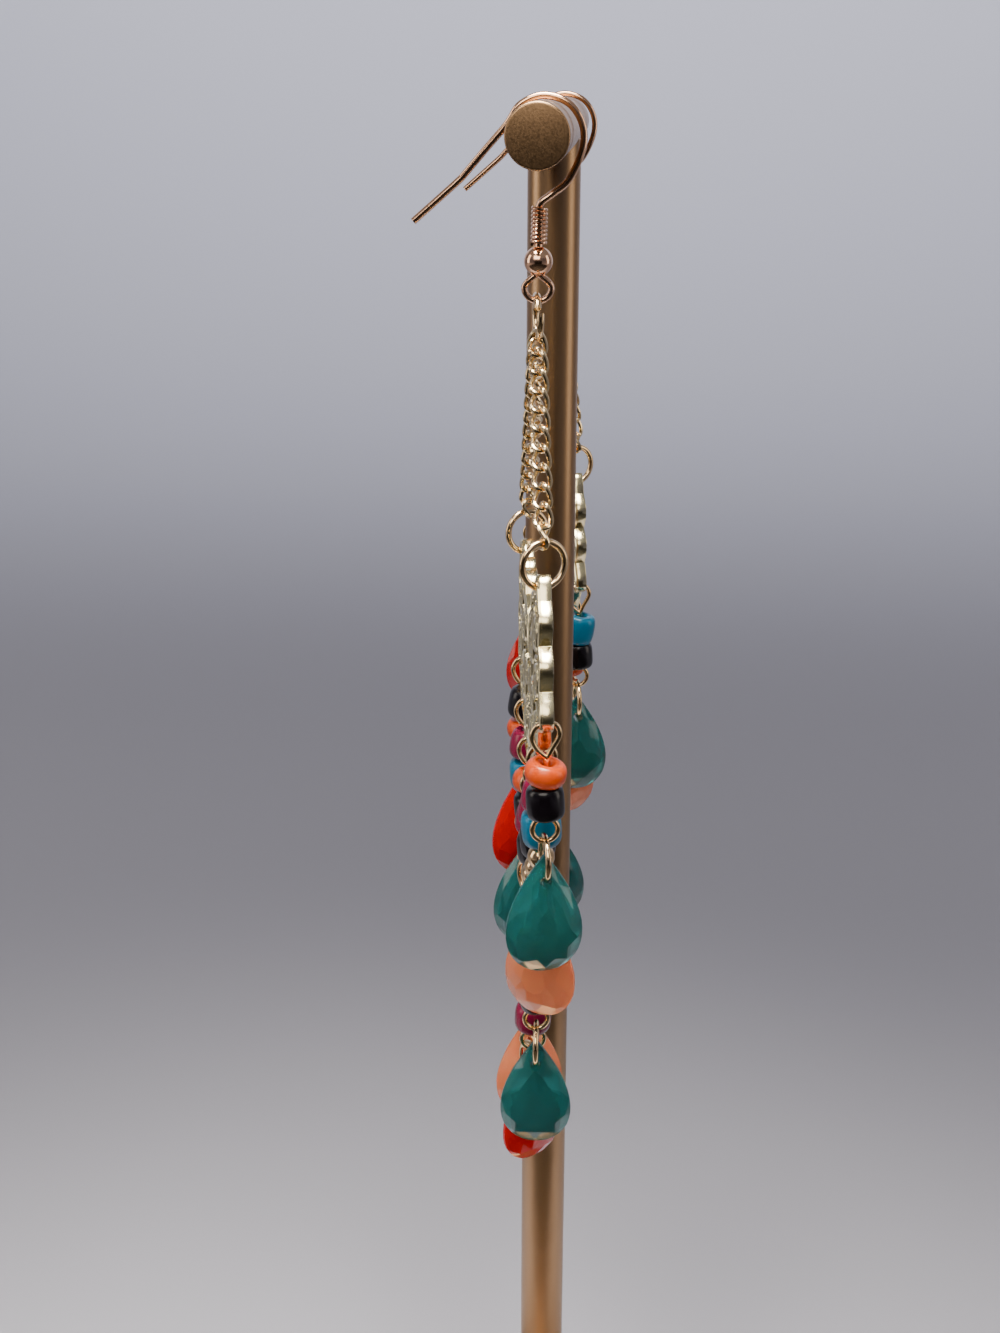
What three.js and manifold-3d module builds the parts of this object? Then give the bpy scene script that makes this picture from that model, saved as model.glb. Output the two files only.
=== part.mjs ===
// A pair of long beaded dangle earrings, hung on a small T-bar display stand.
// Units are millimetres, +Z is up, and the middle of the stand's foot rests on the origin.
// The crossbar runs along X, and the decorated faces of the earrings look towards -Y.

import * as THREE from 'three';
import { mergeVertices } from 'three/addons/utils/BufferGeometryUtils.js';
import Module from 'manifold-3d';

const wasm = await Module();
wasm.setup();

// ---------------------------------------------------------------- driving dimensions

const GAP = 0.3; // space left between pieces that would touch

const STAND = {
	footRadius: 42,
	footThickness: 5,
	footEdge: 0.8, // chamfer of the foot's upper edge
	rodRadius: 3, // the post and the crossbar are the same rod
	barHeight: 214, // height of the crossbar's axis
	barLength: 73.5,
	rodEdge: 0.4 // chamfer of the crossbar's ends
};

const HOOK = {
	spacing: 26.3, // from the post's axis to each hook
	wire: 0.35, // radius of the wire
	// From the cut end, over the crossbar, to the stem: sideways and up from the crossbar's axis.
	route: [
		[ - 12.6, - 8.2 ], [ - 10.3, - 6.3 ], [ - 8.1, - 4.3 ], [ - 5.7, - 1.7 ], [ - 3.45, 0.95 ],
		[ - 2.2, 2.75 ], [ 0, 3.68 ], [ 2.4, 2.85 ], [ 3.7, 0.85 ], [ 3.75, - 1.5 ],
		[ 2.5, - 4.3 ], [ 0.8, - 5.7 ]
	],
	stemTop: [ - 0.25, - 6.6 ], // sideways and up from the crossbar's axis
	stemFoot: [ - 0.37, - 13.5 ],
	stemStart: 0.05, // down the stem from its top
	stemShare: 0.12, // how far down the stem the bent wire reaches
	coilStart: 0.1, // down the stem from its top
	coilLength: 3.8,
	coilTurns: 10,
	coilRadius: 0.82,
	coilRidge: 0.14, // depth of the groove between two turns
	boreGap: 0.12, // between the stem and the bore of the coil or the ball
	ballRadius: 1.42,
	loopWidth: 3.4,
	loopHeight: 3.3,
	loopRise: 0.12, // how far the loop runs up into the stem
	seam: 0.05 // between the coil and the ball
};

const TOP_RING = { radius: 2.05, wire: 0.375, drop: 17.3, cut: 0.4, opening: 0.2 };
const CHAIN = { radius: 0.9, topClearance: 2.2, footClearance: 1.6 };
const PLATE_RING = { radius: 2.32, wire: 0.35, turn: 22 };

const PLATE = {
	thickness: 1.4,
	middle: - 53, // height of the plate's middle below the crossbar's axis
	upperEyeHole: 0.85,
	lowerEyeHole: 0.65
};

// Right half of the plate's outline, from the middle of the upper edge round to the lowest point.
// Each row is the end of one scallop: across, up from the crossbar's axis, and how far it bulges.
const SCALLOPS = [
	{ x: 3.7, z: - 46.9, bulge: 1.0 },
	{ x: 7.2, z: - 44.6, bulge: 0.95 },
	{ x: 9.4, z: - 43.9, bulge: 0.5 },
	{ x: 12.9, z: - 44.5, bulge: 2.1 },
	{ x: 13.5, z: - 48.9, bulge: 1.3 },
	{ x: 14.4, z: - 53.3, bulge: 1.3 },
	{ x: 13.0, z: - 57.9, bulge: 2.1 },
	{ x: 7.4, z: - 61.6, bulge: 1.35 },
	{ x: 2.5, z: - 64.6, bulge: 1.35 }
];
const UPPER_MIDDLE = { x: 0, z: - 51.3 };
const LOWEST_BULGE = 3.4; // of the last scallop, which crosses the middle
const UPPER_EYE = { x: 11.1, z: - 43.5 };

// The seven eyes along the lower edge, numbered from the left end.
const LOWER_EYES = [
	{ x: - 14.4, z: - 56.3 },
	{ x: - 9.5, z: - 60.0 },
	{ x: - 4.8, z: - 63.2 },
	{ x: 0, z: - 65.8 },
	{ x: 4.8, z: - 63.2 },
	{ x: 9.5, z: - 60.0 },
	{ x: 14.4, z: - 56.3 }
];

// Beads by name: radius and height.
const BEADS = {
	orange: { radius: 2.14, height: 2.9 },
	black: { radius: 1.95, height: 3.5 },
	magenta: { radius: 2.1, height: 3.4 },
	turquoise: { radius: 2.12, height: 3.9 },
	gold: { radius: 1.45, height: 2.9 }
};

const EYE_PIN = { wire: 0.275, upperWidth: 3.4, upperHeight: 4.7, lowerWidth: 3.15 };
const DROP_RING = { radius: 2.3, wire: 0.3 };
const PINCH = { depth: 0.55, power: 1.5 }; // how a wire loop narrows towards its foot
const BEAD_SIDES = 8;
const BEAD_SECTION = [ [ 0.6, 0.02 ], [ 1, 0.3 ], [ 1, 0.7 ], [ 0.6, 0.98 ] ]; // shares of radius and height
const JOINED = 0.12; // how deep the wires of one strand run into each other
const DROP = { width: 8.06, height: 13.5, thickness: 3.7, holeBelowTip: 2.7, holeRadius: 0.68 };
const DROP_OUTLINE = { skew: 1.25, soften: 0.85, neck: 0.55, swell: 0.62 };

// One row for each dangle: its beads, the beads of a second row hung below where it has one,
// its drop's colour and how far its drop is turned.
const RIGHT_DANGLES = [
	{ beads: [ 'black', 'orange' ], drop: 'red', turn: 14 },
	{ beads: [ 'magenta', 'turquoise', 'gold' ], drop: 'teal', turn: - 10 },
	{ beads: [ 'orange', 'black', 'gold' ], lower: [ 'orange', 'black', 'magenta' ], drop: 'peach', turn: 8 },
	{ beads: [ 'magenta', 'black', 'gold' ], lower: [ 'orange', 'black', 'magenta' ], drop: 'red', turn: 30 },
	{ beads: [ 'magenta', 'black', 'gold' ], lower: [ 'turquoise', 'black' ], drop: 'teal', turn: - 6 },
	{ beads: [ 'magenta', 'turquoise', 'gold' ], drop: 'peach', turn: - 28 },
	{ beads: [ 'orange', 'black' ], drop: 'teal', turn: 5 }
];
const LEFT_DANGLES = [
	{ beads: [ 'black', 'orange' ], drop: 'red', turn: - 8 },
	{ beads: [ 'magenta', 'turquoise', 'gold' ], drop: 'teal', turn: 12 },
	{ beads: [ 'orange', 'black', 'gold' ], lower: [ 'orange', 'black', 'magenta' ], drop: 'peach', turn: - 6 },
	{ beads: [ 'magenta', 'black', 'gold' ], lower: [ 'orange', 'black', 'magenta' ], drop: 'red', turn: - 4 },
	{ beads: [ 'magenta', 'black', 'gold' ], lower: [ 'turquoise', 'black' ], drop: 'teal', turn: 8 },
	{ beads: [ 'turquoise', 'orange', 'gold' ], drop: 'peach', turn: 10 },
	{ beads: [ 'turquoise', 'black' ], drop: 'teal', turn: - 5 }
];

// How each earring hangs: turn about the vertical and lean within the plate's own plane.
const EARRINGS = [
	{ name: 'right', side: 1, yaw: 7.5, lean: 6.6, dangles: RIGHT_DANGLES },
	{ name: 'left', side: - 1, yaw: 15, lean: - 2, dangles: LEFT_DANGLES }
];

// ---------------------------------------------------------------- materials

const metal = ( color, roughness ) => ( { color, roughness, metalness: 1 } );
const MATERIALS = {
	stand: metal( 0x9a7448, 0.38 ),
	hook: metal( 0xe8b98c, 0.18 ),
	ring: metal( 0xe6c69a, 0.2 ),
	chain: metal( 0xe9d3a6, 0.22 ),
	plate: metal( 0xcfc0a0, 0.32 ),
	beads: { color: 0x7a2440, roughness: 0.25, metalness: 0 },
	teal: { color: 0x0a5f5c, roughness: 0.12, metalness: 0 },
	peach: { color: 0xd8895a, roughness: 0.12, metalness: 0 },
	red: { color: 0xb00d0d, roughness: 0.2, metalness: 0 }
};

function addMesh( parent, name, geometry, material ) {

	const mesh = new THREE.Mesh( geometry, new THREE.MeshStandardMaterial( MATERIALS[ material ] ) );
	mesh.name = name;
	parent.add( mesh );
	return mesh;

}

// ---------------------------------------------------------------- solids

function toManifold( geometry ) {

	const plain = geometry.clone();
	plain.deleteAttribute( 'normal' );
	plain.deleteAttribute( 'uv' );
	const merged = mergeVertices( plain, 1e-4 );
	return new wasm.Manifold( new wasm.Mesh( {
		numProp: 3,
		vertProperties: new Float32Array( merged.attributes.position.array ),
		triVerts: new Uint32Array( merged.index.array )
	} ) );

}

function fromManifold( manifold ) {

	const mesh = manifold.getMesh();
	const geometry = new THREE.BufferGeometry();
	geometry.setAttribute( 'position', new THREE.BufferAttribute( mesh.vertProperties, 3 ) );
	geometry.setIndex( new THREE.BufferAttribute( mesh.triVerts, 1 ) );
	return geometry;

}

function join( geometries ) {

	return fromManifold( geometries.map( toManifold ).reduce( ( a, b ) => a.add( b ) ) );

}

function cut( geometry, tool ) {

	return fromManifold( toManifold( geometry ).subtract( toManifold( tool ) ) );

}

// A lathed solid whose axis is Z. The profile is a list of [ radius, height ] from top to bottom.
function turned( profile, segments ) {

	const points = profile.map( ( [ r, z ] ) => new THREE.Vector2( r, z ) ).reverse();
	return new THREE.LatheGeometry( points, segments ).rotateX( Math.PI / 2 );

}

// A wire of the given radius along a smooth curve through the points.
function wireThrough( points, radius, sides, steps ) {

	const section = [];
	for ( let i = 0; i < sides; i ++ ) {

		const angle = ( i / sides ) * 2 * Math.PI;
		section.push( new THREE.Vector2( radius * Math.cos( angle ), radius * Math.sin( angle ) ) );

	}

	const path = new THREE.CatmullRomCurve3( points, false, 'centripetal' );
	return new THREE.ExtrudeGeometry( new THREE.Shape( section ), { steps, extrudePath: path } );

}

// A closed wire ring standing in the YZ plane, its middle at the origin.
function ring( radius, wire, sides, segments ) {

	return new THREE.TorusGeometry( radius, wire, sides, segments ).rotateY( Math.PI / 2 );

}

// A pear-shaped wire loop in the YZ plane whose pinched foot is at the origin.
function pearLoop( width, height, wire, sides, segments ) {

	const radius = width / 2 - wire;
	const stretch = ( height / 2 - wire ) / radius;
	const loop = ring( radius, wire, sides, segments );
	const position = loop.attributes.position;
	for ( let i = 0; i < position.count; i ++ ) {

		const y = position.getY( i );
		const z = position.getZ( i );
		const outward = Math.hypot( y, z ) - radius;
		const angle = Math.atan2( z, y );
		const pinch = 1 - PINCH.depth * Math.max( 0, - Math.sin( angle ) ) ** PINCH.power;
		position.setY( i, radius * Math.cos( angle ) * pinch + outward * Math.cos( angle ) );
		position.setZ( i, radius * Math.sin( angle ) * stretch + outward * Math.sin( angle ) );

	}

	return loop.translate( 0, 0, height / 2 - wire );

}

// ---------------------------------------------------------------- the stand

function foot() {

	const { footRadius, footThickness, footEdge } = STAND;
	return turned( [
		[ 0, footThickness ],
		[ footRadius - footEdge, footThickness ],
		[ footRadius, footThickness - footEdge ],
		[ footRadius, 0 ],
		[ 0, 0 ]
	], 40 );

}

// The post's upper end is hollowed to sit against the round crossbar.
function post() {

	const { rodRadius, footThickness, barHeight } = STAND;
	const rod = turned( [
		[ 0, barHeight ],
		[ rodRadius, barHeight ],
		[ rodRadius, footThickness + GAP ],
		[ 0, footThickness + GAP ]
	], 20 );
	const seat = new THREE.CylinderGeometry( rodRadius + GAP, rodRadius + GAP, 4 * rodRadius, 24 );
	return cut( rod, seat.rotateZ( Math.PI / 2 ).translate( 0, 0, barHeight ) );

}

function crossbar() {

	const { rodRadius, rodEdge, barLength } = STAND;
	const half = barLength / 2;
	return turned( [
		[ 0, half ],
		[ rodRadius - rodEdge, half ],
		[ rodRadius, half - rodEdge ],
		[ rodRadius, rodEdge - half ],
		[ rodRadius - rodEdge, - half ],
		[ 0, - half ]
	], 20 ).rotateY( Math.PI / 2 );

}

// ---------------------------------------------------------------- ear hook, coil and ball

const stemTop = new THREE.Vector3( 0, ...HOOK.stemTop );
const stemFoot = new THREE.Vector3( 0, ...HOOK.stemFoot );
const stemLean = Math.atan2( stemTop.y - stemFoot.y, stemTop.z - stemFoot.z );

// Places a shape that stands along Z on the hook's stem, a distance down from the stem's top.
function onStem( geometry, distance ) {

	const down = stemFoot.clone().sub( stemTop ).normalize();
	const place = stemTop.clone().addScaledVector( down, distance );
	return geometry.rotateX( - stemLean ).translate( place.x, place.y, place.z );

}

// The wire runs from its cut end, up and over the crossbar, and down into the stem.
function earHook() {

	const route = HOOK.route.map( ( [ y, z ] ) => new THREE.Vector3( 0, y, z ) );
	const bend = stemTop.clone().lerp( stemFoot, HOOK.stemShare );
	const arch = wireThrough( [ ...route, stemTop, bend ], HOOK.wire, 6, 38 );
	const length = stemTop.distanceTo( stemFoot );
	const stem = turned( [ [ 0, 0 ], [ HOOK.wire, 0 ], [ HOOK.wire, - length ], [ 0, - length ] ], 6 );
	// The loop's pinched end is turned up to meet the stem.
	const loop = pearLoop( HOOK.loopWidth, HOOK.loopHeight, HOOK.wire, 5, 16 ).rotateX( Math.PI );
	loop.translate( stemFoot.x, stemFoot.y, stemFoot.z + HOOK.loopRise );
	return join( [ arch, onStem( stem, HOOK.stemStart ), loop ] );

}

function coil() {

	const { coilLength, coilTurns, coilRadius, coilRidge, boreGap, wire } = HOOK;
	const pitch = coilLength / coilTurns;
	const bore = wire + boreGap;
	const profile = [ [ bore, 0 ] ];
	for ( let i = 0; i < coilTurns; i ++ ) {

		profile.push( [ coilRadius, - pitch * ( i + 0.5 ) ] );
		profile.push( [ coilRadius - coilRidge, - pitch * ( i + 1 ) ] );

	}

	profile.push( [ bore, - coilLength ] );
	profile.push( [ bore, 0 ] );
	return onStem( turned( profile, 8 ), HOOK.coilStart );

}

function ball() {

	const { ballRadius, wire, boreGap, coilStart, coilLength, seam } = HOOK;
	const bore = wire + boreGap;
	const lid = Math.acos( bore / ballRadius );
	const profile = [];
	const rows = 7;
	for ( let i = 0; i <= rows; i ++ ) {

		const angle = lid - ( 2 * lid * i ) / rows;
		profile.push( [ ballRadius * Math.cos( angle ), ballRadius * Math.sin( angle ) ] );

	}

	profile.push( profile[ 0 ] );
	return onStem( turned( profile, 12 ), coilStart + coilLength + seam + ballRadius );

}

// ---------------------------------------------------------------- rings, chains and plate

// The ring that carries both chains is cut and bent, so its ends leave a narrow opening.
function topRing() {

	const { radius, wire, cut: middle, opening } = TOP_RING;
	const points = [];
	const steps = 20;
	for ( let i = 0; i <= steps; i ++ ) {

		const angle = middle + opening / 2 + ( ( 2 * Math.PI - opening ) * i ) / steps;
		points.push( new THREE.Vector3( radius * Math.cos( angle ), 0, radius * Math.sin( angle ) ) );

	}

	return wireThrough( points, wire, 6, steps );

}

function plateOutline() {

	const right = [ UPPER_MIDDLE, ...SCALLOPS ];
	const left = [ ...SCALLOPS ].reverse().map( ( { x, z } ) => ( { x: - x, z } ) );
	const corners = [ ...right, ...left ];
	const bulges = SCALLOPS.map( ( { bulge } ) => bulge );
	const allBulges = [ ...bulges, LOWEST_BULGE, ...[ ...bulges ].reverse() ];
	const outline = [];
	corners.forEach( ( from, i ) => {

		const to = corners[ ( i + 1 ) % corners.length ];
		const across = new THREE.Vector2( to.x - from.x, to.z - from.z );
		const outward = new THREE.Vector2( - across.y, across.x ).normalize();
		const steps = 4;
		for ( let k = 0; k < steps; k ++ ) {

			const t = k / steps;
			const rise = allBulges[ i ] * Math.sin( Math.PI * t );
			outline.push( new THREE.Vector2(
				from.x + across.x * t + outward.x * rise,
				from.z + across.y * t + outward.y * rise - PLATE.middle
			) );

		}

	} );
	return outline;

}

function eyeHole( eye, radius ) {

	const hole = new THREE.Path();
	const sides = 8;
	for ( let i = 0; i < sides; i ++ ) {

		const angle = ( ( i + 0.5 ) / sides ) * 2 * Math.PI;
		const x = eye.x + radius * Math.cos( angle );
		const z = eye.z - PLATE.middle + radius * Math.sin( angle );
		if ( i === 0 ) hole.moveTo( x, z );
		else hole.lineTo( x, z );

	}

	hole.closePath();
	return hole;

}

function plate() {

	const shape = new THREE.Shape( plateOutline() );
	for ( const side of [ 1, - 1 ] ) {

		shape.holes.push( eyeHole( { x: side * UPPER_EYE.x, z: UPPER_EYE.z }, PLATE.upperEyeHole ) );

	}

	for ( const eye of LOWER_EYES ) shape.holes.push( eyeHole( eye, PLATE.lowerEyeHole ) );
	const slab = new THREE.ExtrudeGeometry( shape, { depth: PLATE.thickness, bevelEnabled: false } );
	return slab.translate( 0, 0, - PLATE.thickness / 2 ).rotateX( Math.PI / 2 );

}

// Where a point of the plate lies once the plate leans, measured from the crossbar's axis.
function leaned( point, lean ) {

	const up = point.z - PLATE.middle;
	return new THREE.Vector3(
		point.x * Math.cos( lean ) - up * Math.sin( lean ),
		0,
		point.x * Math.sin( lean ) + up * Math.cos( lean ) + PLATE.middle
	);

}

// A chain hangs straight from the top ring to a plate ring.
function chain( from, to ) {

	const along = to.clone().sub( from ).normalize();
	const start = from.clone().addScaledVector( along, CHAIN.topClearance );
	const end = to.clone().addScaledVector( along, - CHAIN.footClearance );
	return wireThrough( [ start, start.clone().lerp( end, 0.5 ), end ], CHAIN.radius, 8, 6 );

}

// ---------------------------------------------------------------- strands and drops

// A row of beads on its eye pin, hanging from the origin. Returns the solids and its lower end.
function beadRow( names, top, loopWidth, loopHeight ) {

	const { wire, lowerWidth } = EYE_PIN;
	const beadTop = top - loopHeight + wire;
	const profile = [ [ 0, beadTop + wire ], [ wire, beadTop + wire ] ];
	let z = beadTop;
	for ( const name of names ) {

		const { radius, height } = BEADS[ name ];
		for ( const [ wide, down ] of BEAD_SECTION ) profile.push( [ radius * wide, z - down * height ] );
		z -= height;

	}

	profile.push( [ wire, z - wire ] );
	profile.push( [ 0, z - wire ] );
	const lowerRadius = lowerWidth / 2 - wire;
	const lowerMiddle = z - lowerRadius;
	return {
		solids: [
			pearLoop( loopWidth, loopHeight, wire, 4, 10 ).translate( 0, 0, beadTop - wire ),
			turned( profile, BEAD_SIDES ).rotateZ( Math.PI / BEAD_SIDES ), // flats face the next strand
			ring( lowerRadius, wire, 4, 10 ).translate( 0, 0, lowerMiddle )
		],
		foot: lowerMiddle - lowerRadius
	};

}

// A jump ring hung in a loop whose lowest wire is at the given height. Returns where its own
// lowest wire lies.
function hungRing( solids, loopFoot, turn ) {

	const { radius, wire } = DROP_RING;
	const middle = loopFoot + EYE_PIN.wire + wire - JOINED - radius;
	const angle = THREE.MathUtils.degToRad( 90 + turn );
	solids.push( ring( radius, wire, 4, 12 ).rotateZ( angle ).translate( 0, 0, middle ) );
	return middle - radius;

}

const TIER_RING_TURN = 30; // keeps the rings between two rows clear of the next strand

function strand( dangle ) {

	const { wire, upperWidth, upperHeight, lowerWidth } = EYE_PIN;
	const top = JOINED + wire;
	const first = beadRow( dangle.beads, top, upperWidth, upperHeight );
	const solids = [ ...first.solids ];
	let foot = first.foot;
	if ( dangle.lower ) {

		const ringFoot = hungRing( solids, foot, TIER_RING_TURN );
		const nextTop = ringFoot + DROP_RING.wire + 2 * wire - JOINED;
		const second = beadRow( dangle.lower, nextTop, lowerWidth, lowerWidth );
		solids.push( ...second.solids );
		foot = second.foot;

	}

	const dropHole = hungRing( solids, foot, dangle.turn );
	return { geometry: join( solids ), dropHole };

}

// A flat teardrop cut with facets, its hole at the origin and its faces towards X.
function drop() {

	const { width, height, thickness, holeBelowTip, holeRadius } = DROP;
	const { skew, soften, neck, swell } = DROP_OUTLINE;
	const profile = [];
	const rows = 7;
	for ( let i = 0; i <= rows; i ++ ) {

		const t = i / rows;
		const fullness = i === rows ? 0 : Math.sin( Math.PI * t ** skew ) ** soften * ( neck + swell * t );
		profile.push( [ fullness * width / 2, holeBelowTip - height * t ] );

	}

	const widest = Math.max( ...profile.map( ( [ r ] ) => r ) );
	const body = turned( profile, 8 ).rotateZ( Math.PI / 8 );
	const corner = Math.cos( Math.PI / 8 );
	const toWidth = width / ( 2 * widest * corner );
	const toThickness = thickness / ( 2 * widest * corner );
	body.scale( toThickness, toWidth, 1 );
	const hole = new THREE.CylinderGeometry( holeRadius, holeRadius, 2 * thickness, 8 );
	return cut( body, hole.rotateZ( Math.PI / 2 ) );

}

// ---------------------------------------------------------------- assembly

function earring( { name, side, yaw, lean, dangles } ) {

	const group = new THREE.Group();
	group.position.set( side * HOOK.spacing, 0, STAND.barHeight );
	addMesh( group, `${ name }_ear_hook`, earHook(), 'hook' );
	addMesh( group, `${ name }_hook_coil`, coil(), 'hook' );
	addMesh( group, `${ name }_hook_ball`, ball(), 'hook' );

	const hanging = new THREE.Group();
	hanging.position.set( 0, stemFoot.y, 0 );
	hanging.rotation.z = THREE.MathUtils.degToRad( yaw );
	group.add( hanging );

	const leanAngle = THREE.MathUtils.degToRad( lean );
	const top = addMesh( hanging, `${ name }_top_ring`, topRing(), 'ring' );
	top.position.z = - TOP_RING.drop;
	const chainTop = new THREE.Vector3( 0, 0, - TOP_RING.drop - TOP_RING.radius );

	for ( const [ end, across ] of [ [ 'outer', side ], [ 'inner', - side ] ] ) {

		const eye = leaned( { x: across * UPPER_EYE.x, z: UPPER_EYE.z }, leanAngle );
		const plateRing = ring( PLATE_RING.radius, PLATE_RING.wire, 5, 14 );
		const link = addMesh( hanging, `${ name }_plate_ring_${ end }`, plateRing, 'ring' );
		link.position.copy( eye );
		link.position.z += PLATE_RING.radius;
		link.rotation.z = THREE.MathUtils.degToRad( PLATE_RING.turn );
		const chainFoot = eye.clone();
		chainFoot.z += 2 * PLATE_RING.radius;
		addMesh( hanging, `${ name }_chain_${ end }`, chain( chainTop, chainFoot ), 'chain' );

	}

	const plateMesh = addMesh( hanging, `${ name }_plate`, plate(), 'plate' );
	plateMesh.position.z = PLATE.middle;
	plateMesh.rotation.y = - leanAngle;

	dangles.forEach( ( dangle, i ) => {

		const eye = leaned( LOWER_EYES[ i ], leanAngle );
		const { geometry, dropHole } = strand( dangle );
		addMesh( hanging, `${ name }_strand_${ i + 1 }`, geometry, 'beads' ).position.copy( eye );
		const stone = addMesh( hanging, `${ name }_drop_${ i + 1 }`, drop(), dangle.drop );
		stone.position.copy( eye );
		stone.position.z += dropHole;
		stone.rotation.z = THREE.MathUtils.degToRad( dangle.turn );

	} );
	return group;

}

const model = new THREE.Group();
addMesh( model, 'stand_base', foot(), 'stand' );
addMesh( model, 'stand_post', post(), 'stand' );
addMesh( model, 'stand_crossbar', crossbar(), 'stand' ).position.z = STAND.barHeight;
for ( const setting of EARRINGS ) model.add( earring( setting ) );

export default model;
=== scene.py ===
"""Gives a pair of beaded dangle earrings, hung on their T-bar display stand, their full shape and finish.

Shapes are drawn in millimetres, in the upright frame of the earring that they belong to,
and one matrix then sets each finished piece in place. +X runs along the crossbar, +Z is up,
and the decorated faces look towards -Y.
"""

import math
import random

import bmesh
import bpy
from bpy.props import FloatProperty, FloatVectorProperty, IntProperty, PointerProperty
from bpy.types import Operator, Panel, PropertyGroup
from mathutils import Matrix, Vector


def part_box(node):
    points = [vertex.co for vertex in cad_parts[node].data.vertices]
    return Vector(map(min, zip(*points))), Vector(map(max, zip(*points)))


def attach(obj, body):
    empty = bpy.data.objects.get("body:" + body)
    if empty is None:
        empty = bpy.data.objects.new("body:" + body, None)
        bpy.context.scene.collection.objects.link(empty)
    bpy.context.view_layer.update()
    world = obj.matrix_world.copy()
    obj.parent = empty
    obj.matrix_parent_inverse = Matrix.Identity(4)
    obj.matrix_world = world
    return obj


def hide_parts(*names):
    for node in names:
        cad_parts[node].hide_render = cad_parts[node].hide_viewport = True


bl_info = {
    "name": "Dangle earrings on a T-bar stand",
    "version": (1, 0, 0),
    "blender": (4, 5, 0),
    "location": "3D View > Sidebar > Earrings",
    "description": "Builds two beaded dangle earrings and the stand that they hang on",
    "category": "Object",
}

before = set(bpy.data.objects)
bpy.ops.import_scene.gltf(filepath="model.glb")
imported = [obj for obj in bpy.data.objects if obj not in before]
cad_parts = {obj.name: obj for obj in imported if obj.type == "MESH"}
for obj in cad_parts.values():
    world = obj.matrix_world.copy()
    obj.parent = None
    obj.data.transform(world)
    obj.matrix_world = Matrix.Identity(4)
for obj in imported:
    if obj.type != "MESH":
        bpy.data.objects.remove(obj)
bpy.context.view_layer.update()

MM = 0.001
BAR_LOW, BAR_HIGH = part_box("stand_crossbar")
BAR_RADIUS = (BAR_HIGH.z - BAR_LOW.z) / 2 / MM
BAR_HEIGHT = (BAR_HIGH.z + BAR_LOW.z) / 2 / MM
BAR_LENGTH = (BAR_HIGH.x - BAR_LOW.x) / MM
_, FOOT_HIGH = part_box("stand_base")
FOOT_RADIUS, FOOT_TOP = FOOT_HIGH.x / MM, FOOT_HIGH.z / MM
HOOK_LOW, HOOK_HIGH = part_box("right_ear_hook")
HOOK_SPACING = (HOOK_HIGH.x + HOOK_LOW.x) / 2 / MM


# ---------------------------------------------------------------- colours


def linear(code):
    """Turns an sRGB hex colour into linear red, green and blue."""
    parts = [int(code[i : i + 2], 16) / 255 for i in (0, 2, 4)]
    return tuple(c / 12.92 if c <= 0.04045 else ((c + 0.055) / 1.055) ** 2.4 for c in parts)


def colour_property(name, description, code):
    """A colour that the user can change."""
    return FloatVectorProperty(
        name=name, description=description, default=linear(code), subtype="COLOR", size=3, min=0, max=1
    )


def length_property(name, description, millimetres):
    """A length that the user can change, kept in metres."""
    return FloatProperty(name=name, description=description, default=millimetres * MM, min=0, unit="LENGTH")


class EARRING_PG_sizes(PropertyGroup):
    """Sizes of the parts that the earrings are made from."""

    hook_wire: length_property("Hook wire", "Thickness of the ear hook's wire", 0.7)
    coil_wire: length_property("Coil wire", "Thickness of the wire coiled round the hook's stem", 0.33)
    coil_turns: IntProperty(name="Coil turns", description="Turns of the coil", default=9, min=1)
    ball: length_property("Ball", "Diameter of the ball under the coil", 2.84)
    chain_wire: length_property("Chain wire", "Thickness of the chain's wire", 0.5)
    chain_pitch: length_property("Chain pitch", "Distance from one chain link to the next", 1.95)
    pin_wire: length_property("Eye pin wire", "Thickness of the wire that holds the beads", 0.55)
    ring_wire: length_property("Drop ring wire", "Thickness of the ring that holds each drop", 0.6)
    drop_width: length_property("Drop width", "Width of a teardrop", 8.06)
    drop_height: length_property("Drop height", "Height of a teardrop", 13.5)
    drop_depth: length_property("Drop depth", "Thickness of a teardrop", 3.7)


class EARRING_PG_colours(PropertyGroup):
    """Colours of the metals, the beads, the drops and the studio."""

    stand: colour_property("Stand", "Anodised stand", "A28260")
    hook: colour_property("Ear hook", "Rose gold plating of the hook", "F6C49C")
    ring: colour_property("Rings", "Pale gold plating of rings and eye pins", "F2CF9A")
    chain: colour_property("Chain", "Pale gold plating of the chains", "F8DCA8")
    plate: colour_property("Plate", "Pale gold plating of the cast plate", "EBDDAE")
    orange: colour_property("Orange bead", "Opaque orange glass", "AC3A00")
    black: colour_property("Black bead", "Opaque aubergine black glass", "070407")
    magenta: colour_property("Magenta bead", "Opaque magenta glass", "66022A")
    turquoise: colour_property("Turquoise bead", "Opaque turquoise glass", "005C78")
    red: colour_property("Red drop", "Red faceted drop", "B00000")
    teal: colour_property("Teal drop", "Teal faceted drop", "1E6B68")
    peach: colour_property("Peach drop", "Peach faceted drop", "E88C5E")
    floor: colour_property("Floor", "Pale studio paper", "ABABB4")


# ---------------------------------------------------------------- driving dimensions, in mm

EASED_EDGES = {"foot": 0.8, "post": 0.2, "bar": 0.25}
POST_SINK = 0.4  # share of the bar's radius that the post stops below the bar's axis

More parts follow.
